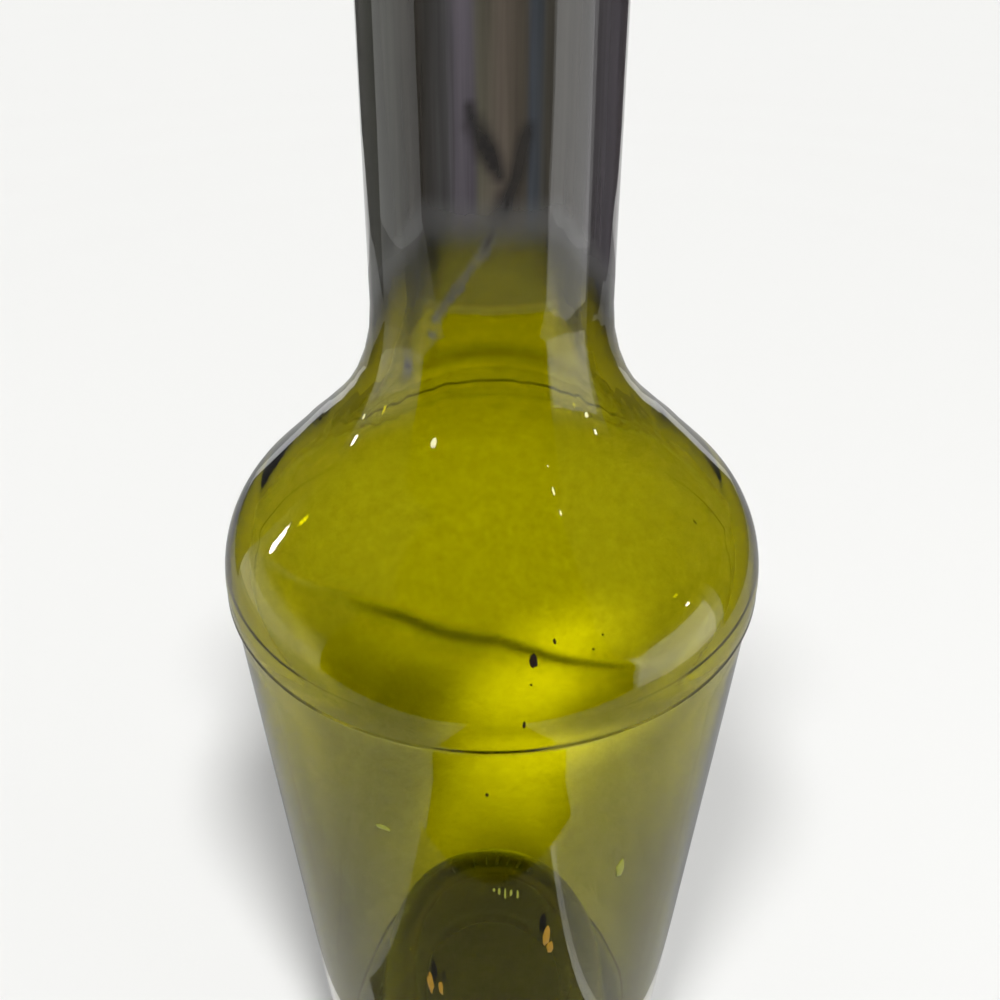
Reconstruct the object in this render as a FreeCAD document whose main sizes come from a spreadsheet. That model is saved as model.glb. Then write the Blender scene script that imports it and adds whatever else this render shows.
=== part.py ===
import FreeCAD, Part
import math
import os

import Sketcher

# An olive green glass bottle of the old cylinder kind, blown in one piece.
# +Z is up, the axis of the bottle is Z, and the ring that it stands on lies on z = 0.
# The body is one mould part and the shoulder another, so a small step runs round the
# bottle where they met, the mould ring. Millimetres and degrees throughout.

NODE = "glass_bottle"

# Sizes that can be set by themselves: alias, value, what it is.
DRIVING = [
    ("overall_height", 255.0, "ground to the lip of the mouth"),
    ("ring_height", 148.0, "ground to the mould ring"),
    ("shoulder_radius", 38.4, "outside, just above the mould ring"),
    ("ring_step", 0.4, "how far the body stands in from the shoulder"),
    ("ring_drop", 0.5, "height of the bevel under the mould ring"),
    ("body_taper", 1.8, "how much narrower the body is at its foot"),
    ("heel_round", 6.0, "where the body turns under"),
    ("bearing_width", 8.2, "from the turned heel to the edge of the punt"),
    ("punt_depth", 36.0, "the punt, the deep hollow pushed up under the base"),
    ("punt_lean", 4.0, "how much narrower the punt is at its top"),
    ("punt_crown", 2.0, "how far the top of the punt bulges up"),
    ("punt_top_round", 6.0, "between the side and the top of the punt"),
    ("punt_edge_round", 2.2, "inner edge of the ring that it stands on"),
    ("shoulder_side", 1.5, "straight side between the ring and the round shoulder"),
    ("shoulder_round", 15.2, "round of the shoulder, outside"),
    ("shoulder_slope", 43.2, "slope of the shoulder above the horizontal, degrees"),
    ("neck_root_radius", 15.3, "outside, where slope and neck would meet"),
    ("neck_root_round", 23.2, "sweep from the shoulder into the neck, outside"),
    ("neck_top_radius", 13.3, "outside, just under the collar"),
    ("collar_radius", 15.0, "the thick band round the mouth"),
    ("collar_height", 11.0, "height of that band"),
    ("collar_round", 2.2, "outer edges of the band"),
    ("collar_root_round", 1.0, "where the neck meets the band"),
    ("bore_radius", 9.25, "the mouth"),
    ("lip_round", 0.9, "inner edge of the mouth"),
    ("body_wall", 2.6, "glass of the body"),
    ("shoulder_wall", 2.8, "glass of the sloping shoulder"),
    ("neck_wall", 4.2, "glass at the foot of the neck"),
    ("base_wall", 6.0, "glass round and over the punt"),
    ("floor_wall", 6.5, "glass above the ring that it stands on"),
    ("inner_heel_round", 3.0, "inside corner of wall and floor"),
    ("inner_punt_round", 1.8, "inside corner of floor and punt"),
]

# Sizes that follow from those above.
DERIVED = [
    ("body_top_radius", "shoulder_radius - ring_step"),
    ("foot_radius", "body_top_radius - body_taper"),
    ("punt_radius", "foot_radius - heel_round - bearing_width"),
    ("ring_foot", "ring_height - ring_drop"),
    ("shoulder_corner", "ring_height + shoulder_side"
     " + shoulder_round * tan((90 - shoulder_slope) / 2)"),
    ("neck_root_height", "shoulder_corner"
     " + (shoulder_radius - neck_root_radius) * tan(shoulder_slope)"),
    ("collar_base", "overall_height - collar_height"),
    ("punt_top_radius", "punt_radius - punt_lean"),
    ("punt_corner", "punt_depth - punt_crown"),
    ("floor_apex", "punt_depth + base_wall"),
    ("floor_corner", "punt_corner + base_wall"),
    ("floor_top_radius", "punt_top_radius + base_wall"),
    ("floor_foot_radius", "punt_radius + base_wall"),
    ("floor_top_round", "punt_top_round + base_wall"),
    ("inner_foot_radius", "foot_radius - body_wall"),
    ("inner_top_radius", "body_top_radius - body_wall"),
    ("inner_root_radius", "neck_root_radius - neck_wall"),
    ("inner_shoulder_corner", "shoulder_corner"
     " + ((shoulder_radius - inner_top_radius) * sin(shoulder_slope) - shoulder_wall)"
     " / cos(shoulder_slope)"),
    ("inner_root_height", "neck_root_height"
     " + (neck_wall * sin(shoulder_slope) - shoulder_wall) / cos(shoulder_slope)"),
    ("inner_shoulder_round", "shoulder_round - shoulder_wall"),
    ("inner_neck_round", "neck_root_round + shoulder_wall"),
]

# Corners of the section, as (radius, height) by name. None lies on the axis or the ground.
# Each outline starts at the top of the punt, an arc whose centre is on the axis.
OUTSIDE = [
    (None, "punt_depth"),
    ("punt_top_radius", "punt_corner"),
    ("punt_radius", None),
    ("foot_radius", None),
    ("body_top_radius", "ring_foot"),
    ("shoulder_radius", "ring_height"),
    ("shoulder_radius", "shoulder_corner"),
    ("neck_root_radius", "neck_root_height"),
    ("neck_top_radius", "collar_base"),
    ("collar_radius", "collar_base"),
    ("collar_radius", "overall_height"),
    (None, "overall_height"),
]
INSIDE = [
    (None, "floor_apex"),
    ("floor_top_radius", "floor_corner"),
    ("floor_foot_radius", "floor_wall"),
    ("inner_foot_radius", "floor_wall"),
    ("inner_top_radius", "inner_shoulder_corner"),
    ("inner_root_radius", "inner_root_height"),
    ("bore_radius", "overall_height"),
    (None, "overall_height"),
]

# Rounded corners: name, corners (radius, height), radius of the round.
OUTSIDE_ROUNDS = [
    ("Heel", [("foot_radius", None)], "heel_round"),
    ("PuntTop", [("punt_top_radius", "punt_corner")], "punt_top_round"),
    ("PuntEdge", [("punt_radius", None)], "punt_edge_round"),
    ("Shoulder", [("shoulder_radius", "shoulder_corner")], "shoulder_round"),
    ("NeckRoot", [("neck_root_radius", "neck_root_height")], "neck_root_round"),
    ("CollarRoot", [("neck_top_radius", "collar_base")], "collar_root_round"),
    ("CollarEdges", [("collar_radius", "collar_base"),
                     ("collar_radius", "overall_height")], "collar_round"),
]
INSIDE_ROUNDS = [
    ("InnerHeel", [("inner_foot_radius", "floor_wall")], "inner_heel_round"),
    ("InnerPunt", [("floor_foot_radius", "floor_wall")], "inner_punt_round"),
    ("FloorTop", [("floor_top_radius", "floor_corner")], "floor_top_round"),
    ("InnerShoulder", [("inner_top_radius", "inner_shoulder_corner")],
     "inner_shoulder_round"),
    ("InnerNeck", [("inner_root_radius", "inner_root_height")], "inner_neck_round"),
    ("Lip", [("bore_radius", "overall_height")], "lip_round"),
]


def fill_sheet(doc):
    """Writes every size into the document's sheet, where each has its alias."""
    sheet = doc.addObject("Spreadsheet::Sheet", "Sizes")
    rows = [(alias, str(value), note) for alias, value, note in DRIVING]
    rows += [(alias, "=" + formula, "follows") for alias, formula in DERIVED]
    for row, (alias, content, note) in enumerate(rows, start=1):
        sheet.set(f"A{row}", alias)
        sheet.set(f"B{row}", content)
        sheet.set(f"C{row}", note)
        sheet.setAlias(f"B{row}", alias)
    doc.recompute()
    return sheet


def size(sheet, alias):
    """The number in a named cell; None stands for the axis or the ground."""
    return 0.0 if alias is None else float(sheet.get(alias))


def datum(body, role):
    """One of the body's own origin planes or axes."""
    return next(item for item in body.Origin.OriginFeatures if item.Role == role)


def hold(sketch, line, point, alias, kind, axis):
    """Ties one coordinate of a line's end to a named size, or puts it on an axis."""
    if alias is None:
        sketch.addConstraint(Sketcher.Constraint("PointOnObject", line, point, axis))
        return
    value = sketch.evalExpression(f"Sizes.{alias}")
    number = sketch.addConstraint(Sketcher.Constraint(kind, -1, 1, line, point, value))
    sketch.setExpression(f"Constraints[{number}]", f"Sizes.{alias}")


def add_outline(body, sheet, name, corners):
    """A closed half section: the punt's top, straight sides from corner to corner, the axis."""
    horizontal_axis, vertical_axis = -1, -2
    start, end, centre = 1, 2, 3
    sketch = body.newObject("Sketcher::SketchObject", name)
    sketch.AttachmentSupport = [(datum(body, "XZ_Plane"), "")]
    sketch.MapMode = "FlatFace"
    places = [FreeCAD.Vector(size(sheet, r), size(sheet, z), 0) for r, z in corners]

    apex, rim = places[:2]
    crown = apex.y - rim.y
    radius = (rim.x ** 2 + crown ** 2) / (2 * crown)
    middle = FreeCAD.Vector(0, apex.y - radius, 0)
    edge = rim - middle
    circle = Part.Circle(middle, FreeCAD.Vector(0, 0, 1), radius)
    rim_angle = math.atan2(edge.y, edge.x)
    dome = sketch.addGeometry(Part.ArcOfCircle(circle, rim_angle, math.pi / 2))
    sketch.addConstraint(Sketcher.Constraint("PointOnObject", dome, centre, vertical_axis))
    hold(sketch, dome, start, corners[1][0], "DistanceX", vertical_axis)
    hold(sketch, dome, start, corners[1][1], "DistanceY", horizontal_axis)
    hold(sketch, dome, end, corners[0][0], "DistanceX", vertical_axis)
    hold(sketch, dome, end, corners[0][1], "DistanceY", horizontal_axis)

    previous, previous_end = dome, start
    for here, there, corner in zip(places[1:], places[2:], corners[2:]):
        line = sketch.addGeometry(Part.LineSegment(here, there))
        sketch.addConstraint(
            Sketcher.Constraint("Coincident", previous, previous_end, line, start))
        hold(sketch, line, end, corner[0], "DistanceX", vertical_axis)
        hold(sketch, line, end, corner[1], "DistanceY", horizontal_axis)
        previous, previous_end = line, end
    axis = sketch.addGeometry(Part.LineSegment(places[-1], places[0]))
    sketch.addConstraint(
        Sketcher.Constraint("Coincident", previous, previous_end, axis, start))
    sketch.addConstraint(Sketcher.Constraint("Coincident", axis, end, dome, end))
    return sketch


def turn(body, kind, name, sketch):
    """A full turn of the outline about the bottle's axis, added or cut away."""
    feature = body.newObject(kind, name)
    feature.Profile = sketch
    feature.ReferenceAxis = (sketch, ["V_Axis"])
    feature.Angle = 360
    sketch.Visibility = False
    body.Document.recompute()
    return feature


def circles_at(shape, radius, height):
    """Names of the round edges about the axis with this radius and height."""
    found = []
    for number, edge in enumerate(shape.Edges, start=1):
        if edge.Degenerated or not isinstance(edge.Curve, Part.Circle):
            continue
        centre = edge.Curve.Center
        off_axis = math.hypot(centre.x, centre.y)
        gap = max(abs(edge.Curve.Radius - radius), abs(centre.z - height), off_axis)
        if gap < 1e-4:
            found.append(f"Edge{number}")
    return found


def round_corners(body, sheet, feature, rounds):
    """Rounds each listed corner of the section, and returns the last feature."""
    for name, corners, round_alias in rounds:
        edges = []
        for radius, height in corners:
            edges += circles_at(feature.Shape, size(sheet, radius), size(sheet, height))
        if len(edges) < len(corners):
            raise RuntimeError(f"{name}: the corner to round was not found")
        fillet = body.newObject("PartDesign::Fillet", name)
        fillet.Base = (feature, edges)
        fillet.setExpression("Radius", f"Sizes.{round_alias}")
        body.Document.recompute()
        feature = fillet
    return feature


def make_bottle(doc, sheet):
    """The whole bottle: the outside turned up solid, then the inside turned out of it."""
    body = doc.addObject("PartDesign::Body", "GlassBottle")
    body.Label = NODE
    outline = add_outline(body, sheet, "OutsideOutline", OUTSIDE)
    outside = turn(body, "PartDesign::Revolution", "Outside", outline)
    outside = round_corners(body, sheet, outside, OUTSIDE_ROUNDS)
    filled = outside.Shape.Volume
    inside_outline = add_outline(body, sheet, "InsideOutline", INSIDE)
    inside = turn(body, "PartDesign::Groove", "Inside", inside_outline)
    inside = round_corners(body, sheet, inside, INSIDE_ROUNDS)
    body.Placement = FreeCAD.Placement()
    doc.recompute()
    glass = body.Shape.Volume
    print(f"glass {glass / 1000:.1f} cm3, holds {(filled - glass) / 1000:.1f} cm3 to the brim")
    return body


def check(doc, bodies):
    """Stops if any object failed, or a body isn't one sound solid."""
    for item in doc.Objects:
        if "Invalid" in item.State or "Error" in item.State:
            raise RuntimeError(f"{item.Name} failed: {item.State}")
    for body in bodies:
        if body.Shape.isNull() or not body.Shape.isValid() or len(body.Shape.Solids) != 1:
            raise RuntimeError(f"{body.Label} is not one sound solid")


def main():
    doc = FreeCAD.newDocument("GlassBottle")
    sheet = fill_sheet(doc)
    bodies = [make_bottle(doc, sheet)]
    check(doc, bodies)
    os.makedirs("parts", exist_ok=True)
    for body in bodies:
        body.Shape.exportStep(f"parts/{body.Label}.step")


main()
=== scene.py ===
import functools
import math

import bmesh
import bpy
from mathutils import Matrix, Vector, noise


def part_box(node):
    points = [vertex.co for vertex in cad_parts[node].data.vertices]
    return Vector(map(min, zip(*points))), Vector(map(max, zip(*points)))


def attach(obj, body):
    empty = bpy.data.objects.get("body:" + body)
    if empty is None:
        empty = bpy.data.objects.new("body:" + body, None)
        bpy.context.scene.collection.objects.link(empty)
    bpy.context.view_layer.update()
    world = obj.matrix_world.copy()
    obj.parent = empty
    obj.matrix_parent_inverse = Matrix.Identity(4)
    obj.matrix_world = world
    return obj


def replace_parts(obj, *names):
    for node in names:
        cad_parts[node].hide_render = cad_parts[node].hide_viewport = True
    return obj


bl_info = {
    "name": "Old green glass bottle",
    "version": (1, 0, 0),
    "blender": (4, 5, 0),
    "location": "3D View > Sidebar > Glass Bottle",
    "description": "Builds an empty olive green glass bottle round its CAD model",
    "category": "Add Mesh",
}

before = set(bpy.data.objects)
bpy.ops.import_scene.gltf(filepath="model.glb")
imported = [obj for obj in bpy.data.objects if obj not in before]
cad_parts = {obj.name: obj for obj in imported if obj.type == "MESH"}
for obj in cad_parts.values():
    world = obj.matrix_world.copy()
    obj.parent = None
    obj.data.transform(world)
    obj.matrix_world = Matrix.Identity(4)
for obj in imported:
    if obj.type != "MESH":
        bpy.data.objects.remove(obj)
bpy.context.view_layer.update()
NODE = "glass_bottle"
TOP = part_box(NODE)[1]
MM = 0.001


# ---------------------------------------------------------------- sizes and colours

def from_hex(hex_colour):
    """Linear red, green and blue of an sRGB hex value."""
    parts = [int(hex_colour[i:i + 2], 16) / 255 for i in (1, 3, 5)]
    return [p / 12.92 if p <= 0.04045 else ((p + 0.055) / 1.055) ** 2.4 for p in parts]


def size(name, description, millimetres):
    """A length that a user can change, given in millimetres."""
    return bpy.props.FloatProperty(
        name=name, description=description, default=millimetres * MM,
        min=0.0, precision=5, unit="LENGTH")


def turn(name, description, degrees):
    """An angle that a user can change, given in degrees."""
    return bpy.props.FloatProperty(
        name=name, description=description, default=math.radians(degrees), unit="ROTATION")


def share(name, description, part):
    """A share that a user can change, 0 to 1."""
    return bpy.props.FloatProperty(
        name=name, description=description, default=part, min=0.0, max=1.0, subtype="FACTOR")


def tint(name, description, hex_colour):
    """A colour that a user can change, given as sRGB hex."""
    return bpy.props.FloatVectorProperty(
        name=name, description=description, subtype="COLOR", size=3,
        min=0.0, max=1.0, default=from_hex(hex_colour))


class BottleSizes(bpy.types.PropertyGroup):
    """The bottle's section, as the CAD model has it."""

    overall_height: size("Height", "Ground to the lip of the mouth", TOP.z / MM)
    shoulder_radius: size("Shoulder radius", "Just above the mould ring", TOP.x / MM)
    ring_height: size("Ring height", "Ground to the mould ring", 148.0)
    ring_step: size("Ring step", "How far the body stands in from the shoulder", 0.4)
    ring_drop: size("Ring drop", "Height of the bevel under the ring", 0.5)
    ring_round: size("Ring round", "Softness of the ring's two edges", 0.22)
    body_taper: size("Body taper", "How much narrower the body is at its foot", 1.8)
    heel_round: size("Heel round", "Where the body turns under", 6.0)
    bearing_width: size("Bearing width", "From the heel to the edge of the punt", 8.2)
    punt_depth: size("Punt depth", "The hollow pushed up under the base", 36.0)
    punt_lean: size("Punt lean", "How much narrower the punt is at its top", 4.0)
    punt_crown: size("Punt crown", "How far the top of the punt bulges up", 2.0)
    punt_top_round: size("Punt top", "Between the side and the top of the punt", 6.0)
    punt_edge_round: size("Punt edge", "Inner edge of the ring it stands on", 2.2)
    shoulder_side: size("Shoulder side", "Straight side above the mould ring", 1.5)
    shoulder_round: size("Shoulder round", "Round of the shoulder, outside", 15.2)
    shoulder_slope: turn("Shoulder slope", "Slope above the horizontal", 43.2)
    neck_root_radius: size("Neck root", "Where slope and neck would meet", 15.3)
    neck_root_round: size("Neck sweep", "From the shoulder into the neck", 23.2)
    neck_top_radius: size("Neck top", "Just under the collar", 13.3)
    collar_radius: size("Collar radius", "The thick band round the mouth", 15.0)
    collar_height: size("Collar height", "Height of that band", 11.0)
    collar_round: size("Collar round", "Outer edges of the band", 2.2)
    collar_root_round: size("Collar root", "Where the neck meets the band", 1.0)
    bore_radius: size("Bore", "Radius of the mouth", 9.25)
    lip_round: size("Lip", "Inner edge of the mouth", 0.9)
    body_wall: size("Body wall", "Glass of the body", 2.6)
    shoulder_wall: size("Shoulder wall", "Glass of the shoulder", 2.8)
    neck_wall: size("Neck wall", "Glass at the foot of the neck", 4.2)
    base_wall: size("Base wall", "Glass round and over the punt", 6.0)
    floor_wall: size("Floor wall", "Glass above the ring it stands on", 6.5)
    inner_heel_round: size("Inner heel", "Inside corner of wall and floor", 3.0)
    inner_punt_round: size("Inner punt", "Inside corner of floor and punt", 1.8)


class SkinMarks(bpy.types.PropertyGroup):
    """What blowing and handling leave on the skin of the glass, and the shade painted on it."""

    columns: bpy.props.IntProperty(
        name="Columns", description="Faces round the bottle", default=336, min=24)
    plain_row: size("Plain row", "Row of faces where the skin is plain", 8.0)
    fine_row: size("Fine row", "Row of faces on the shoulder", 0.7)
    lap_row: size("Lap row", "Row of faces where the cold lap runs", 0.42)
    smear_row: size("Smear row", "Row of faces where the smears of the neck are", 0.9)
    ring_row: size("Ring row", "Row of faces on the mould ring", 0.2)
    draw_lines: size("Draw lines", "Depth of the stretch lines along the neck", 0.035)
    waves: size("Waves", "Depth of the slow waves of the skin", 0.06)
    seam: size("Seam", "Height of the bead that the mould's joint left", 0.13)
    lap_step: size("Lap step", "Height of the cold lap on the shoulder", 0.26)
    lap_width: size("Lap width", "Width of the lap's steep side", 0.45)
    knurl_depth: size("Knurl depth", "Depth of the notches it stands on", 0.28)
    knurls: bpy.props.IntProperty(
        name="Knurls", description="Notches round the bearing ring", default=72, min=0)
    clean_skin: share("Clean skin", "Share of light that clean skin lets by, before squaring", 0.98)
    # Shares of shade painted on the skin
    lap_line_shade: share("Lap line shade", "Share that the thin line of the lap takes", 0.52)
    lap_shade: share("Lap shade", "Share that the soft shade under it takes", 0.22)
    side_shade: share("Side shade", "Share that the haze on the lower front sides takes", 0.30)
    punt_shade: share("Punt shade", "Share that the painted shade in the punt leaves", 0.2)


# ---------------------------------------------------------------- the section

def outline_corners(s):
    """The section's corners as radius, height and round, from the middle of the punt,
    up the outside, over the lip and down the inside to the middle of the floor, and
    how many of them are outside."""
    slope = s.shoulder_slope
    body_top = s.shoulder_radius - s.ring_step
    foot = body_top - s.body_taper
    punt = foot - s.heel_round - s.bearing_width
    corner = s.ring_height + s.shoulder_side
    corner += s.shoulder_round * math.tan((math.pi / 2 - slope) / 2)
    root = corner + (s.shoulder_radius - s.neck_root_radius) * math.tan(slope)
    collar = s.overall_height - s.collar_height
    inner_top = body_top - s.body_wall
    inner_corner = corner + (
        (s.shoulder_radius - inner_top) * math.sin(slope) - s.shoulder_wall
    ) / math.cos(slope)
    inner_root = root + (
        s.neck_wall * math.sin(slope) - s.shoulder_wall) / math.cos(slope)
    punt_top = punt - s.punt_lean
    punt_corner = s.punt_depth - s.punt_crown
    outside = crown_points(punt_top, s.punt_depth, s.punt_crown) + [
        (punt_top, punt_corner, s.punt_top_round),
        (punt, 0, s.punt_edge_round),
        (foot, 0, s.heel_round),
        (body_top, s.ring_height - s.ring_drop, s.ring_round),
        (s.shoulder_radius, s.ring_height, s.ring_round),
        (s.shoulder_radius, corner, s.shoulder_round),
        (s.neck_root_radius, root, s.neck_root_round),
        (s.neck_top_radius, collar, s.collar_root_round),
        (s.collar_radius, collar, s.collar_round),
        (s.collar_radius, s.overall_height, s.collar_round),
        (s.bore_radius, s.overall_height, s.lip_round),
    ]
    inside = [
        (s.neck_root_radius - s.neck_wall, inner_root, s.neck_root_round + s.shoulder_wall),
        (inner_top, inner_corner, s.shoulder_round - s.shoulder_wall),
        (foot - s.body_wall, s.floor_wall, s.inner_heel_round),
        (punt + s.base_wall, s.floor_wall, s.inner_punt_round),
        (punt_top + s.base_wall, punt_corner + s.base_wall,
         s.punt_top_round + s.base_wall),
    ] + crown_points(
        punt_top + s.base_wall, s.punt_depth + s.base_wall, s.punt_crown)[::-1]
    return outside + inside, len(outside)


def crown_points(radius, top, crown):
    """Points of a shallow crown, from its top to where the round of its edge starts."""
    return [(radius * part, top - crown * part * part, 0) for part in (0, 0.15, 0.3, 0.45)]


def draw_outline(bm, corners, outside, row_height, sharpest_step):
    """Draws the section in the XZ plane: straight runs, and a spun arc at each corner.
    The first corners are outside, as many as told. row_height gives the tallest row of
    faces at a point, outside or inside."""
    pen = bm.verts.new((corners[0][0], 0, corners[0][1]))
    for number, (before, corner, after) in enumerate(
            zip(corners, corners[1:], corners[2:]), start=1):
        here, radius = Vector((corner[0], 0, corner[1])), corner[2]
        rows = functools.partial(row_height, number <= outside)
        if radius == 0:
            pen = draw_run(bm, pen, here, rows)
            continue
        back = (Vector((before[0], 0, before[1])) - here).normalized()
        onward = (Vector((after[0], 0, after[1])) - here).normalized()
        half = back.angle(onward) / 2
        centre = here + (back + onward).normalized() * (radius / math.sin(half))
        pen = draw_run(bm, pen, here + back * (radius / math.tan(half)), rows)
        angle = math.pi - 2 * half
        axis = (pen.co - centre).cross(here - pen.co).normalized()
        steps = math.ceil(max(angle / sharpest_step, radius * angle / rows(here)))
        arc = bmesh.ops.spin(
            bm, geom=[pen], axis=axis, cent=centre, steps=steps, angle=angle)
        pen = next(v for v in arc["geom_last"] if isinstance(v, bmesh.types.BMVert))
    draw_run(bm, pen, Vector((corners[-1][0], 0, corners[-1][1])), rows)


def draw_run(bm, pen, end, row_height):
    """Draws a straight run from the pen to a point in rows, and moves the pen there."""
    start = pen.co.copy()
    length = (end - start).length
    gone = 0.0
    while gone < length:
        gone = gone + row_height(start.lerp(end, gone / length))
        left = length - gone
        if left < 0.5 * row_height(end):
            gone = length
        ahead = bmesh.ops.extrude_vert_indiv(bm, verts=[pen])["verts"][0]
        ahead.co = start.lerp(end, gone / length)
        pen = ahead
    return pen


# ---------------------------------------------------------------- small helpers

def add_node(owner, kind, settings=(), links=()):
    """Adds a node to a material or world, sets its properties and sockets, and links
    its inputs."""
    node = owner.node_tree.nodes.new(kind)
    for key, value in dict(settings).items():
        if isinstance(key, str) and key not in node.inputs:
            setattr(node, key, value)
        else:
            node.inputs[key].default_value = value
    for key, socket in dict(links).items():
        owner.node_tree.links.new(socket, node.inputs[key])
    return node


def new_material(name):
    """An empty node material and its output node."""
    material = bpy.data.materials.new(name)
    material.use_nodes = True
    material.node_tree.nodes.clear()
    return material, add_node(material, "ShaderNodeOutputMaterial")


def piece_from(bm, name, material):
    """A smooth object from a bmesh, at the origin."""
    mesh = bpy.data.meshes.new(name)
    bm.to_mesh(mesh)
    bm.free()
    mesh.polygons.foreach_set("use_smooth", [True] * len(mesh.polygons))
    mesh.materials.append(material)
    piece = bpy.data.objects.new(name, mesh)
    bpy.context.scene.collection.objects.link(piece)
    return piece


def glass_piece(piece):
    """Hangs a piece on the bottle."""
    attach(piece, "root")
    return piece


def toward(azimuth, elevation):
    """Direction from degrees round from the front, to the right, and degrees up."""
    a, e = math.radians(azimuth), math.radians(elevation)
    return Vector((math.sin(a) * math.cos(e), -math.cos(a) * math.cos(e), math.sin(e)))


def smooth_step(low, high, value):
    """0 below low, 1 above high, and a soft S between."""
    t = min(1.0, max(0.0, (value - low) / (high - low)))
    return t * t * (3 - 2 * t)


def on_path(path, angle):
    """Height of a path of (angle, height) points at an angle, or None off its ends."""
    for (a0, h0), (a1, h1) in zip(path, path[1:]):
        if a0 <= angle <= a1:
            return h0 + (h1 - h0) * (angle - a0) / (a1 - a0)
    return None


# ---------------------------------------------------------------- the glass

# The cold lap on the shoulder: degrees round from the front, and height in millimetres.
LAP = ((-62, 160.2), (-52, 160.9), (-44, 161.4), (-33, 162.2), (-18, 162.2), (-8.5, 161.5),
       (1.2, 161.1), (7.6, 160.1), (12.9, 159.1), (19.7, 158.0), (24.5, 157.1), (34, 155.4))

# Folds round the back of the neck's root: height and how far each stands out, in millimetres, and
# the share of light that the painted shade along it takes.
FOLDS = ((165.6, 0.09, 0.0), (172.5, 0.20, 0.52), (174.4, 0.20, 0.62))

# Dark smears on the neck. Each stroke is a row of points: degrees round from the front, height, and
# half of the stroke's width, both in millimetres.
SMEARS = (
    ((-8.6, 211.6, 0.1), (-6.8, 210.2, 0.6), (-2.3, 208.0, 0.9), (2.7, 205.4, 0.5)),
    ((13.6, 209.4, 0.3), (9.4, 205.5, 0.6), (6.3, 203.4, 1.1), (2.4, 200.7, 1.3),
     (-2.8, 198.3, 1.2), (-8.9, 196.1, 0.8), (-14.0, 193.9, 0.7), (-19.8, 192.0, 0.4),
     (-26.0, 189.8, 0.25)),
    ((-26.7, 188.2, 0.3), (-27.0, 188.1, 0.3)),
    ((-32.4, 185.9, 0.15), (-38.6, 183.7, 0.1)),
)

# Tone of the neck's film, by degrees round from the front: grey of dust and painted shade, with
# lighter and tinted bands that are painted reflections.
NECK_DUST_AND_REFLECTION_TONES = (
    (-180, "#3A3733"), (-120, "#3A3835"), (-80, "#62615E"), (-58, "#54544E"),
    (-51, "#3C3C36"), (-46, "#4C4C46"), (-30, "#3C3833"), (-26, "#3E3C39"),
    (-17, "#464545"), (-14, "#5E595F"), (-8, "#5C575E"), (-5, "#585549"),
    (4, "#564E46"), (12, "#514B41"), (15, "#3E4248"), (18, "#404347"),
    (21, "#45423B"), (38, "#3C3935"), (43, "#464345"), (60, "#4A464B"),
    (75, "#4A4144"), (120, "#3A3835"), (180, "#3A3733"),
)


class GlassLook(bpy.types.PropertyGroup):
    """Colour and surface of the glass."""

    dye: bpy.props.FloatVectorProperty(
        name="Dye", description="Share of red, green and blue lost in one millimetre",
        size=3, default=(0.142, 0.154, 0.74), min=0.0, max=1.0)
    refraction: bpy.props.FloatProperty(
        name="Refraction", description="Refractive index of bottle glass", default=1.52)
    roughness: bpy.props.FloatProperty(
        name="Roughness", description="Roughness of the fire-polished skin", default=0.02)
    # The neck's film is partly dust and partly painted shade, with a sharp edge in front.
    dust_shade_from: size("Film from", "Height of the neck film's sharp lower edge", 191.0)
    dust_shade_flat: size("Film flat", "Half width in front and behind where that edge is level", 7.0)
    dust_shade_turn: size("Film turn", "Width over which the edge falls to the sides", 17.0)
    dust_shade_fall: size("Film fall", "How much lower it ends at the sides", 24.0)
    dust_shade_back: size("Film back", "How much lower it ends behind than in front", 7.0)
    dust_shade_rise: size("Film rise", "Height over which the film grows full", 13.0)
    dust_shade_rag: size("Film rag", "How ragged its edge is", 0.6)
    dust_shade_sharp: size("Film sharp", "Half width in front where that edge is sharp", 8.0)
    dust_shade_step: share("Film step", "How much of the film the sharp edge starts with", 0.52)
    dust_shade_hiding: bpy.props.FloatProperty(
        name="Film hiding", description="Power by which a thin film hides less", default=5.0)
    dust_shade_through: share("Film through", "Share of the glass that shows through a full film", 0.22)
    smear_tone: tint("Smear tone", "Colour of the smears", "#302E2D")


# Scales of the glass's patterns. Streaks in the neck's film, painted streaks of reflection, are 1.5
# mm wide and some 90 mm long, drawn out with the glass, and soft cloudiness is 1.6 mm from light to
# light.
STREAKS = (650, 650, 11)
CLOUDS = 620.0
# Most of a noise texture's values lie between these two.
NOISE_LOW, NOISE_HIGH = 0.3, 0.7
# The looks of front and back blend over this much on both sides of the axis.
SIDE_BLEND = 4 * MM


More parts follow.
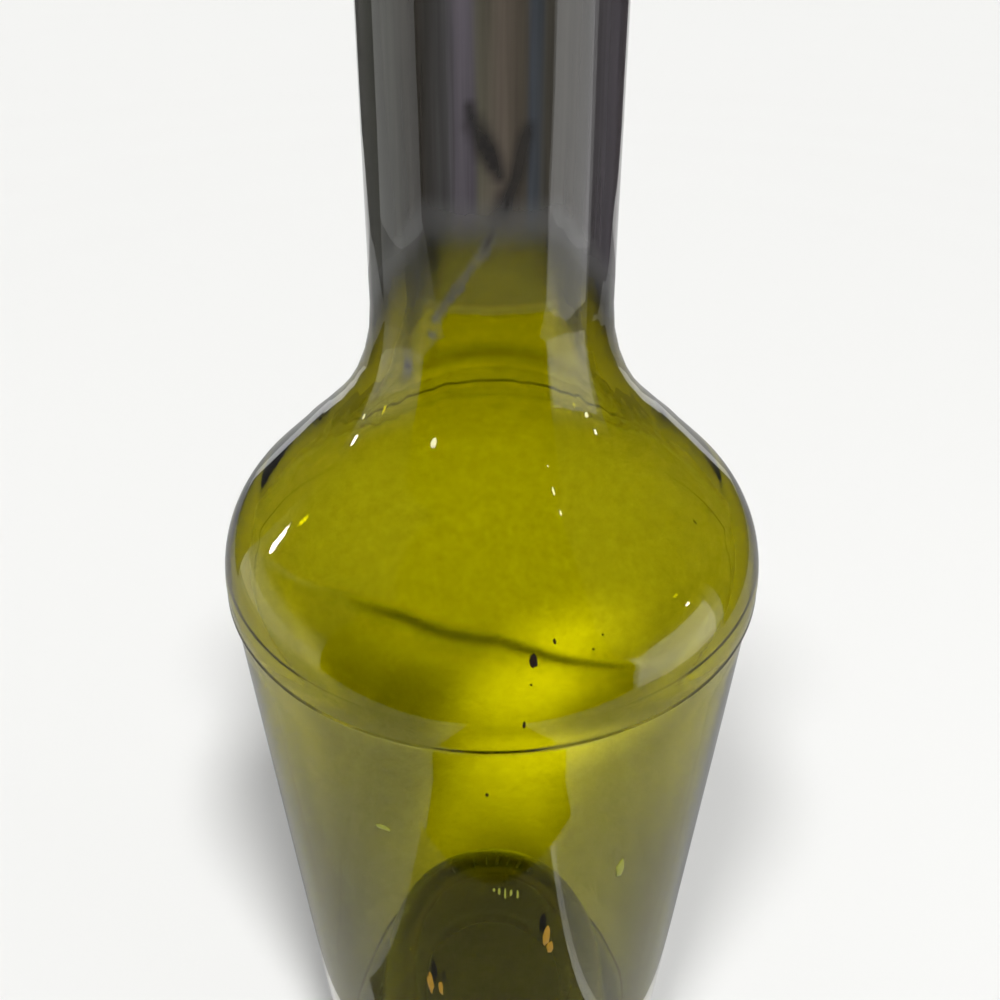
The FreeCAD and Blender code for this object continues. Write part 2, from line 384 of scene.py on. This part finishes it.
def bottle_glass(look):
    """Soda-lime bottle glass, blown in a mould: the dye takes out the blue, so thick places and
    double walls turn from yellow green to olive, and the skin is glossy. A film hides the neck down
    to an edge that is sharp in front. It is partly dust and partly painted shade, and its tones are
    partly painted reflections. Painted shade on the skin dims the light that comes through."""
    material, output = new_material("Soda-lime glass, blown, olive green")
    place = add_node(material, "ShaderNodeTexCoord").outputs["Object"]
    parts = add_node(material, "ShaderNodeSeparateXYZ", links={0: place})
    height = parts.outputs["Z"]
    aside = add_node(
        material, "ShaderNodeMath", {"operation": "ABSOLUTE"}, {0: parts.outputs["X"]})
    drawn = add_node(material, "ShaderNodeMapping", {"Scale": STREAKS}, {"Vector": place})
    streaks = add_node(
        material, "ShaderNodeTexNoise",
        {"Scale": 1.0, "Detail": 3.0, "Roughness": 0.6}, {"Vector": drawn.outputs[0]})
    cloud = add_node(
        material, "ShaderNodeTexNoise",
        {"Scale": CLOUDS, "Detail": 3.0, "Roughness": 0.75}, {"Vector": place})

    # the edge of the film, where its painted shade ends, is level in front, falls to the sides and
    # is lower behind
    fall = add_node(
        material, "ShaderNodeMapRange",
        {"From Min": look.dust_shade_flat, "From Max": look.dust_shade_flat + look.dust_shade_turn,
         "To Min": look.dust_shade_from, "To Max": look.dust_shade_from - look.dust_shade_fall},
        {"Value": aside.outputs[0]})
    front = add_node(
        material, "ShaderNodeMapRange", {"From Min": SIDE_BLEND, "From Max": -SIDE_BLEND},
        {"Value": parts.outputs["Y"]})
    above = add_node(
        material, "ShaderNodeMath", {"operation": "SUBTRACT"},
        {0: height, 1: fall.outputs[0]})
    rag = add_node(
        material, "ShaderNodeMath",
        {"operation": "MULTIPLY_ADD", 1: look.dust_shade_rag,
         2: look.dust_shade_back - look.dust_shade_rag / 2},
        {0: cloud.outputs["Fac"]})
    lowered = add_node(
        material, "ShaderNodeMath", {"operation": "MULTIPLY_ADD", 1: -look.dust_shade_back},
        {0: front.outputs[0], 2: above.outputs[0]})
    ragged = add_node(
        material, "ShaderNodeMath", {"operation": "ADD"},
        {0: lowered.outputs[0], 1: rag.outputs[0]})
    # half a millimetre brings the film's first step, and only in the middle of the front
    edge = add_node(
        material, "ShaderNodeMapRange",
        {"From Min": -0.2 * MM, "From Max": 0.3 * MM, "To Max": look.dust_shade_step},
        {"Value": ragged.outputs[0]})
    middle = add_node(
        material, "ShaderNodeMapRange",
        {"From Min": look.dust_shade_sharp + 5 * MM, "From Max": look.dust_shade_sharp},
        {"Value": aside.outputs[0]})
    sharp = add_node(
        material, "ShaderNodeMath", {"operation": "MULTIPLY"},
        {0: middle.outputs[0], 1: front.outputs[0]})
    step = add_node(
        material, "ShaderNodeMath", {"operation": "MULTIPLY"},
        {0: edge.outputs[0], 1: sharp.outputs[0]})
    growth = add_node(
        material, "ShaderNodeMapRange",
        {"interpolation_type": "SMOOTHSTEP", "From Max": look.dust_shade_rise},
        {"Value": ragged.outputs[0]})
    film = add_node(
        material, "ShaderNodeMath", {"operation": "MAXIMUM"},
        {0: step.outputs[0], 1: growth.outputs[0]})
    smear = add_node(material, "ShaderNodeAttribute", {"attribute_name": "smear"})
    cover = add_node(
        material, "ShaderNodeMath", {"operation": "MAXIMUM", "use_clamp": True},
        {0: film.outputs[0], 1: smear.outputs["Fac"]})

    # the film's tones, painted reflections among them, run along the neck, each at its own place
    # round it
    back = add_node(
        material, "ShaderNodeMath", {"operation": "MULTIPLY", 1: -1.0},
        {0: parts.outputs["Y"]})
    around = add_node(
        material, "ShaderNodeMath", {"operation": "ARCTAN2"},
        {0: parts.outputs["X"], 1: back.outputs[0]})
    wander = add_node(
        material, "ShaderNodeMath",
        {"operation": "MULTIPLY_ADD", 1: 0.10, 2: -0.05}, {0: streaks.outputs["Fac"]})
    turned = add_node(
        material, "ShaderNodeMath", {"operation": "ADD"},
        {0: around.outputs[0], 1: wander.outputs[0]})
    way_round = add_node(
        material, "ShaderNodeMapRange",
        {"From Min": -math.pi, "From Max": math.pi}, {"Value": turned.outputs[0]})
    tones = add_node(material, "ShaderNodeValToRGB", links={0: way_round.outputs[0]})
    ramp = tones.color_ramp.elements
    ramp.remove(ramp[1])
    ramp[0].position, ramp[0].color = 0.0, (*from_hex(NECK_DUST_AND_REFLECTION_TONES[0][1]), 1)
    for degrees, tone in NECK_DUST_AND_REFLECTION_TONES[1:]:
        ramp.new((degrees + 180) / 360).color = (*from_hex(tone), 1)
    # and fine painted streaks of lighter and darker reflection run along it too
    uneven = add_node(
        material, "ShaderNodeMapRange",
        {"From Min": NOISE_LOW, "From Max": NOISE_HIGH, "To Min": 0.7, "To Max": 1.3},
        {"Value": streaks.outputs["Fac"]})
    streaked = add_node(
        material, "ShaderNodeVectorMath", {"operation": "SCALE"},
        {0: tones.outputs["Color"], "Scale": uneven.outputs[0]})
    smear_tone = add_node(
        material, "ShaderNodeMix",
        {"data_type": "RGBA", 7: (*look.smear_tone, 1)},
        {0: smear.outputs["Fac"], 6: streaked.outputs[0]})

    # cloudiness and the shade painted on the skin dim the light that comes through
    shade = add_node(material, "ShaderNodeAttribute", {"attribute_name": "painted_shading"})
    milk = add_node(
        material, "ShaderNodeMapRange",
        {"From Min": NOISE_LOW, "From Max": NOISE_HIGH, "To Min": 0.90, "To Max": 1.05},
        {"Value": cloud.outputs["Fac"]})
    clean = add_node(
        material, "ShaderNodeMath", {"operation": "MULTIPLY", "use_clamp": True},
        {0: shade.outputs["Fac"], 1: milk.outputs[0]})
    plain = add_node(
        material, "ShaderNodeCombineColor",
        links={channel: clean.outputs[0] for channel in range(3)})

    colour = add_node(
        material, "ShaderNodeMix", {"data_type": "RGBA"},
        {0: cover.outputs[0], 6: plain.outputs[0], 7: smear_tone.outputs[2]})
    # a thin film only tints, a thick one hides
    hidden = add_node(
        material, "ShaderNodeMath", {"operation": "POWER", 1: look.dust_shade_hiding},
        {0: cover.outputs[0]})
    clear = add_node(
        material, "ShaderNodeMapRange", {"To Min": 1.0, "To Max": look.dust_shade_through},
        {"Value": hidden.outputs[0]})
    glass = add_node(
        material, "ShaderNodeBsdfPrincipled",
        {"IOR": look.refraction, "Roughness": look.roughness},
        {"Base Color": colour.outputs[2], "Transmission Weight": clear.outputs[0]})
    # a little more than the blue's loss, so that no channel of the colour is quite black
    lost = [-math.log(1 - part) / MM for part in look.dye]
    density = max(lost) * 1.02
    dye = add_node(
        material, "ShaderNodeVolumeAbsorption",
        {"Color": (*[1 - part / density for part in lost], 1), "Density": density})
    material.node_tree.links.new(glass.outputs["BSDF"], output.inputs["Surface"])
    material.node_tree.links.new(dye.outputs["Volume"], output.inputs["Volume"])
    return material


def degrees_round(co):
    """Degrees round the bottle from its front, to the right."""
    return math.degrees(math.atan2(co.x, -co.y))


# Below this height all skin is outer skin.
UNDERSIDE = 3 * MM
# The notches stay below this height, round a circle of this radius, and fade this far
# from it.
KNURL_TOP, KNURL_CIRCLE, KNURL_REACH = 1.5 * MM, 26.2 * MM, 3.0 * MM
# Scales of the slow waves of the skin and of the stretch lines along the neck.
WAVE_GRAIN = Vector((55, 55, 28))
DRAWN_GRAIN = Vector((420, 420, 9))
# The folds run only where y is past this, behind the axis.
FOLDS_BEHIND = 10 * MM
# Height and radius within which painted shade darkens the underside of the punt.
PUNT_SHADE_TOP, PUNT_SHADE_REACH = 38 * MM, 23.5 * MM


def bell(distance, reach):
    """1 in the middle of a soft ridge, and nearly 0 at twice its reach."""
    return math.exp(-(distance / reach) ** 2)


def above_lap(co):
    """Millimetres above the cold lap, or None where there is none."""
    if not 150 < co.z / MM < 170:
        return None
    path = on_path(LAP, degrees_round(co))
    return None if path is None else co.z / MM - path


def skin_offset(co, outward, marks, s):
    """How far the skin stands out from the plain section at a point, in metres."""
    angle = degrees_round(co)
    away = co.to_2d().length
    offset = marks.waves * noise.noise(co * WAVE_GRAIN)
    drawn = smooth_step(160 * MM, 190 * MM, co.z)
    offset += drawn * marks.draw_lines * noise.fractal(co * DRAWN_GRAIN, 0.6, 2.0, 2)
    past = above_lap(co) if outward else None
    if past is not None:
        # a steep side below, and a long soft one above
        past /= marks.lap_width / MM
        ends = smooth_step(-62, -40, angle) * (1 - smooth_step(22, 34, angle))
        offset += ends * marks.lap_step * (
            smooth_step(-1, 1, past) * math.exp(-max(0.0, past) * 0.2))
    if outward and co.y > FOLDS_BEHIND:
        for height, rise, _ in FOLDS:
            offset += rise * MM * bell(co.z / MM - height, 0.8)
    if outward and away > s.shoulder_radius * 0.9:
        offset += marks.seam * bell(co.z - s.ring_height - 0.35 * MM, 0.28 * MM)
    if outward and co.z < KNURL_TOP:
        notch = 0.5 + 0.5 * math.cos(math.radians(angle) * marks.knurls)
        offset -= notch * marks.knurl_depth * bell(away - KNURL_CIRCLE, KNURL_REACH)
    # on the bearing ring the skin only moves inwards, and just above it hardly at all
    rest = smooth_step(0.0, 4 * MM, co.z)
    if co.z < KNURL_TOP:
        return min(0.0, offset * (1 - rest))
    return offset * rest


def painted_shading(co, marks):
    """Share of light that the outer skin lets by, with shade and a highlight painted into it. Along
    the lap it paints a thin line of shade with a soft one under it, and over its left part a bright
    band. Painted shade darkens the folds behind the neck's root, the lower front sides and the
    underside of the punt. What is left is squared, as if the light went through the skin twice."""
    past = above_lap(co)
    left = marks.clean_skin
    if past is not None:
        angle = degrees_round(co)
        # painted shade along the lap: a thin dark line, and a soft shade under it
        shade = smooth_step(-46, -12, angle) * (1 - smooth_step(23, 32, angle))
        under = smooth_step(-2.6, -0.4, past) * (1 - smooth_step(-0.2, 0.3, past))
        left -= shade * (marks.lap_line_shade * bell(past + 0.1, 0.48) + marks.lap_shade * under)
        # a painted highlight above the lap's left part, and painted shade just under it
        ridge_highlight = smooth_step(-62, -50, angle) * (1 - smooth_step(-14, 2, angle))
        left += ridge_highlight * (0.05 * bell(past - 0.7, 0.6) - 0.12 * bell(past + 0.3, 0.5))
    # painted shade along the folds behind the neck's root
    if co.y > FOLDS_BEHIND:
        for height, _, taken in FOLDS:
            left -= taken * bell(co.z / MM - height, 0.7)
    # painted shade on the lower front sides
    low = 1 - smooth_step(105 * MM, 143 * MM, co.z)
    aside = smooth_step(14 * MM, 26 * MM, abs(co.x))
    left -= marks.side_shade * low * aside * (1 - smooth_step(-8 * MM, 4 * MM, co.y))
    # painted shade under the punt
    if co.z < PUNT_SHADE_TOP and co.to_2d().length < PUNT_SHADE_REACH:
        left = marks.punt_shade
    return left * left


def smear_at(co, s):
    """How dark a smear makes a point of the neck, 0 to 1."""
    if not 182 < co.z / MM < 215 or co.y > 0:
        return 0.0
    # about the neck's radius at the smears, where a degree is some 0.25 mm
    per_degree = math.radians(1) * (s.neck_root_radius - 1 * MM) / MM
    spot = Vector((degrees_round(co) * per_degree, co.z / MM))
    most = 0.0
    for stroke in SMEARS:
        for (a0, h0, w0), (a1, h1, w1) in zip(stroke, stroke[1:]):
            start, end = Vector((a0 * per_degree, h0)), Vector((a1 * per_degree, h1))
            along = end - start
            part = max(0.0, min(1.0, (spot - start).dot(along) / along.length_squared))
            gap = (spot - start - along * part).length
            gap += 0.40 * noise.noise(Vector((spot.x * 0.7, spot.y * 0.30, a0)))
            # it fades out over a millimetre more than its width
            half = w0 + (w1 - w0) * part
            most = max(most, 1 - smooth_step(0.0, half + 1.0, gap))
    patchy = 0.96 + 0.3 * noise.noise(Vector((spot.x * 0.5, spot.y * 0.20, 4.0)))
    return min(1.0, most * patchy)


# Millimetres above the mould ring between which each kind of row is used.
RING_ROWS = (-1.2, 1.4)
SHOULDER_ROWS = (1.4, 27.8)
LAP_ROWS = (7.0, 14.6)
SMEAR_ROWS = (34.0, 65.0)


class GLASSBOTTLE_OT_blow(bpy.types.Operator):
    """Blow the bottle: one closed wall of glass from the punt to the mouth"""

    bl_idname = "glassbottle.blow"
    bl_label = "Blow the bottle"

    def execute(self, context):
        s = context.scene.bottle_sizes
        marks = context.scene.skin_marks

        # the first that fits counts
        rows = ((RING_ROWS, marks.ring_row), (LAP_ROWS, marks.lap_row),
                (SHOULDER_ROWS, marks.fine_row), (SMEAR_ROWS, marks.smear_row))

        def row_height(outside, point):
            up = (point.z - s.ring_height) / MM
            for (low, high), row in rows:
                if outside and low < up < high:
                    return row
            return marks.plain_row

        bm = bmesh.new()
        corners, outside = outline_corners(s)
        draw_outline(bm, corners, outside, row_height, math.radians(10))
        bmesh.ops.spin(
            bm, geom=bm.verts[:] + bm.edges[:], axis=(0, 0, 1), cent=(0, 0, 0),
            steps=marks.columns, angle=2 * math.pi, use_merge=True)
        bmesh.ops.remove_doubles(bm, verts=bm.verts, dist=1e-7)
        bmesh.ops.recalc_face_normals(bm, faces=bm.faces)
        if bm.calc_volume(signed=True) < 0:
            bmesh.ops.reverse_faces(bm, faces=bm.faces)
        # painted shade and highlight of the outer skin, and the dark smears of the neck
        clear = bm.verts.layers.float.new("painted_shading")
        smear = bm.verts.layers.float.new("smear")
        bm.normal_update()
        moves = []
        for vert in bm.verts:
            radial = Vector((vert.co.x, vert.co.y, 0))
            outward = vert.normal.dot(radial) > 0 or vert.co.z < UNDERSIDE
            vert[clear] = painted_shading(vert.co, marks) if outward else marks.clean_skin ** 2
            vert[smear] = smear_at(vert.co, s) if outward else 0.0
            # the middles of punt and floor stay on the axis
            if radial.length > 0.01 * MM:
                moves.append((vert, vert.normal * skin_offset(vert.co, outward, marks, s)))
        for vert, move in moves:
            vert.co += move
        glass = bottle_glass(context.scene.glass_look)
        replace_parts(glass_piece(piece_from(bm, "bottle_glass", glass)), NODE)
        return {"FINISHED"}


# ---------------------------------------------------------------- stones and flecks

# Each speck: degrees round from the front, and the height it lies at, its width and its
# own height, in millimetres.
STONES = (
    (7.6, 159.24, 0.95, 1.35),
    (11.8, 160.68, 0.30, 0.62),
    (21.4, 160.36, 0.22, 0.24),
    (18.9, 159.47, 0.26, 0.26),
    (6.8, 157.11, 0.28, 0.20),
    (5.4, 152.64, 0.34, 0.85),
    (-0.9, 140.04, 0.34, 0.62),
    (58.1, 164.20, 0.26, 0.80),
)
# White flecks, painted glints of light round the neck's root
WHITE_GLINTS = (
    (-21.5, 176.4, 0.75, 1.10),
    (19.1, 172.05, 0.22, 1.00),
    (19.6, 170.2, 0.20, 0.70),
    (19.2, 174.3, 0.18, 0.22),
    (39.7, 178.1, 0.60, 0.60),
    (-57.6, 175.9, 0.40, 0.70),
)
# Pale green flecks, painted glints lower on the body
GREEN_GLINTS = (
    (-21.7, 129.2, 2.2, 0.9),
    (28.4, 116.8, 1.2, 4.2),
    (0.4, 119.0, 0.30, 0.9),
    (1.5, 118.6, 0.34, 1.7),
    (2.7, 118.0, 0.30, 2.3),
    (3.9, 118.1, 0.34, 1.5),
    (5.3, 117.6, 0.28, 1.9),
)
# Amber flecks, painted gold glints lower on the body
GOLD_GLINTS = (
    (12.2, 105.3, 1.1, 4.8),
    (13.1, 101.9, 0.9, 3.2),
    (-14.8, 90.4, 1.0, 6.5),
    (-12.2, 89.4, 0.7, 4.4),
)


def grit(name, tones, roughness):
    """A rough grain of two tones, in crumbs 0.25 mm apart."""
    material, output = new_material(name)
    crumbs = add_node(
        material, "ShaderNodeTexNoise", {"Scale": 4000.0, "Detail": 3.0},
        {"Vector": add_node(material, "ShaderNodeTexCoord").outputs["Object"]})
    tone = add_node(
        material, "ShaderNodeMix",
        {"data_type": "RGBA", 6: (*from_hex(tones[0]), 1), 7: (*from_hex(tones[1]), 1)},
        {0: crumbs.outputs["Fac"]})
    grain = add_node(
        material, "ShaderNodeBsdfPrincipled", {"Roughness": roughness},
        {"Base Color": tone.outputs[2]})
    material.node_tree.links.new(grain.outputs["BSDF"], output.inputs["Surface"])
    return material


# Scale of the lumps on a speck, and the share of its width that it is thick.
SPECK_LUMPS, SPECK_THICK = 3200, 0.2


def set_specks(name, specks, material):
    """Lumps pressed flat on the outer skin of the bottle, in one piece."""
    bottle = bpy.data.objects["bottle_glass"]
    bm = bmesh.new()
    for number, (angle, height, width, tall) in enumerate(specks):
        # a ray from well outside finds the skin
        far = toward(angle, 0) * 80 * MM
        far.z = height * MM
        hit, spot, normal, _ = bottle.ray_cast(far, Vector((-far.x, -far.y, 0)))
        if not hit:
            raise RuntimeError("no glass under a speck of " + name)
        ball = bmesh.ops.create_icosphere(bm, subdivisions=3, radius=0.5 * MM)["verts"]
        facing = normal.to_track_quat("Z", "Y").to_matrix().to_4x4()
        for vert in ball:
            lumps = noise.noise(vert.co * SPECK_LUMPS + Vector((number * 7.3, 0, 0)))
            vert.co *= 1 + 0.45 * lumps
        thick = SPECK_THICK * min(width, tall)
        bmesh.ops.scale(bm, verts=ball, vec=(width, tall, thick))
        bmesh.ops.transform(bm, verts=ball, matrix=Matrix.Translation(spot) @ facing)
    glass_piece(piece_from(bm, name, material))


class GLASSBOTTLE_OT_specks(bpy.types.Operator):
    """Set the dark stones, and the flecks that paint white, pale green and gold glints, on the
    glass
    """

    bl_idname = "glassbottle.specks"
    bl_label = "Set stones and flecks"

    def execute(self, context):
        set_specks("stones", STONES, grit(
            "Refractory stone, unmelted, black brown", ("#0E0A08", "#2E2318"), 0.7))
        # the flecks after the stones are painted glints: white, pale green and gold
        set_specks("white_glints", WHITE_GLINTS, grit(
            "Painted glint, off-white", ("#F6F3CF", "#D9D58C"), 0.5))
        set_specks("green_glints", GREEN_GLINTS, grit(
            "Painted glint, pale green", ("#A0A434", "#6E7222"), 0.4))
        set_specks("gold_glints", GOLD_GLINTS, grit(
            "Painted glint, amber", ("#C8960A", "#54400A"), 0.6))
        return {"FINISHED"}


# ---------------------------------------------------------------- the stage

class StageSettings(bpy.types.PropertyGroup):
    """Floor, room, lamps and camera."""

    floor_colour: tint("Floor", "Pale matt board", "#EDEDEB")
    low_sky: tint("Low sky", "The room at eye level", "#C4C4C4")
    high_sky: tint("High sky", "The room overhead", "#3A3A3A")
    sky_fade: bpy.props.FloatProperty(
        name="Sky fade", description="Sine of the height where the high sky starts",
        default=0.32)
    sun_strength: bpy.props.FloatProperty(
        name="Lamps", description="Irradiance of both wide lamps", default=3.7)
    camera_back: size("Camera back", "From the bottle's axis", 101.15)
    camera_height: size("Camera height", "Above the floor", 228.14)
    camera_pitch: turn("Camera pitch", "How far it looks down", 35.345)
    focal_length: bpy.props.FloatProperty(
        name="Focal length", description="On a 36 mm sensor", default=30.87)
    camera_shift: bpy.props.FloatProperty(
        name="Camera shift", description="Share of the frame's width", default=0.00805,
        precision=5)


# Cards that only reflections show. The black ones keep the floor's pale reflection off
# the middle of the glass, and the grey ones dull it at the sides. Each piece has a name,
# a surface, a colour and its cards: width and depth, place, and, where a card stands,
# the axis that it is turned up about.
CARDS = (
    ("dark_card", "Black card", "#050505", (
        (1.12, 0.80, (-0.14, -0.36, 0.402), "X"),
        (0.120, 0.256, (0.006, -0.232, 0.002), None))),
    ("grey_cards", "Grey card", "#A6A6A4", (
        (0.62, 1.00, (-0.36, 0, 0.001), None),
        (0.62, 1.00, (0.36, 0, 0.001), None))),
    ("side_flags", "Dark grey card", "#525150", (
        (0.104, 0.070, (-0.006, -0.070, 0.002), None),
        (0.80, 0.70, (-0.46, 0.55, 0.402), "Y"),
        (0.80, 0.87, (0.46, 0.465, 0.402), "Y"))),
)

# Wide lamps in front, whose shadows cross behind the bottle: name, degrees round from the
# front, and share of the light. They stand equally high and are equally soft.
WIDE_LAMPS = (("Left lamp", -36, 0.38), ("Right lamp", 32, 0.62))
WIDE_LAMPS_UP, WIDE_LAMPS_SOFT = 60, 10

# Narrow lamps behind. The light on the floor shines through the glass, most in a streak
# right behind it. Name, place, target, watts and degrees across the cone.
STREAK_LAMPS = (
    ("Streak lamp", (0.423, 0.90, 0.40), (0.011, 0.088, 0), 120.0, 3.3),
    ("Side streak lamp", (0.453, 0.90, 0.44), (0.041, 0.106, 0), 60.0, 3.2),
)

# Soft panels, which make the milky reflections and the sparks: name, the place on the
# glass that they face, degrees round and up from it, width, height and radiance.
PANELS = (
    ("Left panel", (-0.025, -0.025, 0.157), -91, -6, 0.42, 0.30, 0.12),
    ("Right panel", (0.025, -0.027, 0.155), 72, -8, 0.36, 0.34, 1.4),
    ("Left spark", (-0.027, -0.017, 0.162), -111, 14.2, 0.014, 0.022, 25),
    ("Right spark", (0.023, -0.026, 0.159), 85, 18, 0.018, 0.018, 20),
)
PANEL_DISTANCE = 0.50


def matt(name, colour):
    """A plain matt surface."""
    material, output = new_material(name)
    board = add_node(material, "ShaderNodeBsdfDiffuse", {"Color": (*colour, 1)})
    material.node_tree.links.new(board.outputs["BSDF"], output.inputs["Surface"])
    return material


def add_lamp(name, kind, place, target, energy, **settings):
    """A lamp that faces a point, hidden from the camera."""
    lamp = bpy.data.lights.new(name, kind)
    lamp.energy = energy
    for key, value in settings.items():
        setattr(lamp, key, value)
    holder = bpy.data.objects.new(name, lamp)
    bpy.context.scene.collection.objects.link(holder)
    holder.location = place
    facing = (Vector(target) - Vector(place)).to_track_quat("-Z", "Y")
    holder.rotation_euler = facing.to_euler()
    holder.visible_camera = False
    return holder


def add_card(bm, wide, deep, place, upright_about):
    """A flat card in a mesh. It lies, or stands turned up about an axis."""
    card = bmesh.ops.create_grid(bm, x_segments=1, y_segments=1, size=0.5)["verts"]
    bmesh.ops.scale(bm, verts=card, vec=(wide, deep, 1))
    if upright_about:
        quarter = Matrix.Rotation(math.pi / 2, 3, upright_about)
        bmesh.ops.rotate(bm, verts=card, matrix=quarter)
    bmesh.ops.translate(bm, verts=card, vec=place)


def set_cards():
    """The cards that only reflections show."""
    for name, surface, colour, cards in CARDS:
        bm = bmesh.new()
        for card in cards:
            add_card(bm, *card)
        piece = piece_from(bm, name, matt(surface, from_hex(colour)))
        for ray in ("camera", "diffuse", "transmission", "shadow"):
            setattr(piece, "visible_" + ray, False)


def make_room(stage):
    """A world that is pale at eye level and dark overhead."""
    world = bpy.data.worlds.new("Room")
    bpy.context.scene.world = world
    world.use_nodes = True
    ray = add_node(world, "ShaderNodeTexCoord")
    parts = add_node(world, "ShaderNodeSeparateXYZ", links={0: ray.outputs["Generated"]})
    fade = add_node(
        world, "ShaderNodeMapRange",
        {"interpolation_type": "SMOOTHSTEP", "From Max": stage.sky_fade},
        {"Value": parts.outputs["Z"]})
    sky = add_node(
        world, "ShaderNodeMix",
        {"data_type": "RGBA", 6: (*stage.low_sky, 1), 7: (*stage.high_sky, 1)},
        {0: fade.outputs[0]})
    room = world.node_tree.nodes["Background"]
    room.inputs["Strength"].default_value = 1.0
    world.node_tree.links.new(sky.outputs[2], room.inputs["Color"])


def hang_lamps(stage):
    """All lamps. Neither reflections nor the glass show the wide and the narrow ones."""
    wide_lamps = [
        add_lamp(
            name, "SUN", toward(azimuth, WIDE_LAMPS_UP), (0, 0, 0),
            stage.sun_strength * part, angle=math.radians(WIDE_LAMPS_SOFT))
        for name, azimuth, part in WIDE_LAMPS]
    streak_lamps = [
        add_lamp(
            name, "SPOT", place, target, watts,
            spot_size=math.radians(cone), spot_blend=1.0, shadow_soft_size=0.01)
        for name, place, target, watts, cone in STREAK_LAMPS]
    for lamp in wide_lamps + streak_lamps:
        lamp.visible_glossy = lamp.visible_transmission = False
    for name, seen_from, azimuth, elevation, wide, tall, radiance in PANELS:
        place = Vector(seen_from) + toward(azimuth, elevation) * PANEL_DISTANCE
        add_lamp(
            name, "AREA", place, seen_from, radiance * math.pi * wide * tall,
            shape="RECTANGLE", size=wide, size_y=tall)


def place_camera(stage):
    """A camera that looks down at the bottle from in front."""
    camera = bpy.data.cameras.new("Camera")
    camera.sensor_width = 36.0
    camera.lens = stage.focal_length
    camera.shift_x = stage.camera_shift
    camera.clip_start = 0.01
    holder = bpy.data.objects.new("Camera", camera)
    bpy.context.scene.collection.objects.link(holder)
    holder.location = (0, -stage.camera_back, stage.camera_height)
    holder.rotation_euler = (math.pi / 2 - stage.camera_pitch, 0, 0)
    bpy.context.scene.camera = holder


class GLASSBOTTLE_OT_set_stage(bpy.types.Operator):
    """Set the stage: floor, cards for the reflections, room, lamps and camera"""

    bl_idname = "glassbottle.set_stage"
    bl_label = "Set the stage"

    def execute(self, context):
        stage = context.scene.stage_settings
        # 24 m wide, so that its edge lies near the horizon
        bm = bmesh.new()
        bmesh.ops.create_grid(bm, x_segments=1, y_segments=1, size=12.0)
        floor = piece_from(bm, "floor", matt("Pale matt board", stage.floor_colour))
        set_cards()
        make_room(stage)
        hang_lamps(stage)
        place_camera(stage)
        context.scene.view_settings.view_transform = "Standard"
        return {"FINISHED"}


# ---------------------------------------------------------------- panel and run

class GLASSBOTTLE_PT_build(bpy.types.Panel):
    """Lists the steps that build the bottle"""

    bl_idname = "GLASSBOTTLE_PT_build"
    bl_label = "Glass Bottle"
    bl_space_type = "VIEW_3D"
    bl_region_type = "UI"
    bl_category = "Glass Bottle"

    def draw(self, context):
        for step in STEPS:
            self.layout.operator(step.bl_idname)


GROUPS = {
    "bottle_sizes": BottleSizes,
    "skin_marks": SkinMarks,
    "glass_look": GlassLook,
    "stage_settings": StageSettings,
}
STEPS = (GLASSBOTTLE_OT_blow, GLASSBOTTLE_OT_specks, GLASSBOTTLE_OT_set_stage)


def register():
    for group in GROUPS.values():
        bpy.utils.register_class(group)
    for name, group in GROUPS.items():
        setattr(bpy.types.Scene, name, bpy.props.PointerProperty(type=group))
    for step in STEPS:
        bpy.utils.register_class(step)
    bpy.utils.register_class(GLASSBOTTLE_PT_build)


def unregister():
    bpy.utils.unregister_class(GLASSBOTTLE_PT_build)
    for step in reversed(STEPS):
        bpy.utils.unregister_class(step)
    for name in GROUPS:
        delattr(bpy.types.Scene, name)
    for group in reversed(GROUPS.values()):
        bpy.utils.unregister_class(group)


def main():
    register()
    bpy.ops.glassbottle.blow()
    bpy.ops.glassbottle.specks()
    bpy.ops.glassbottle.set_stage()


if __name__ == "__main__":
    main()
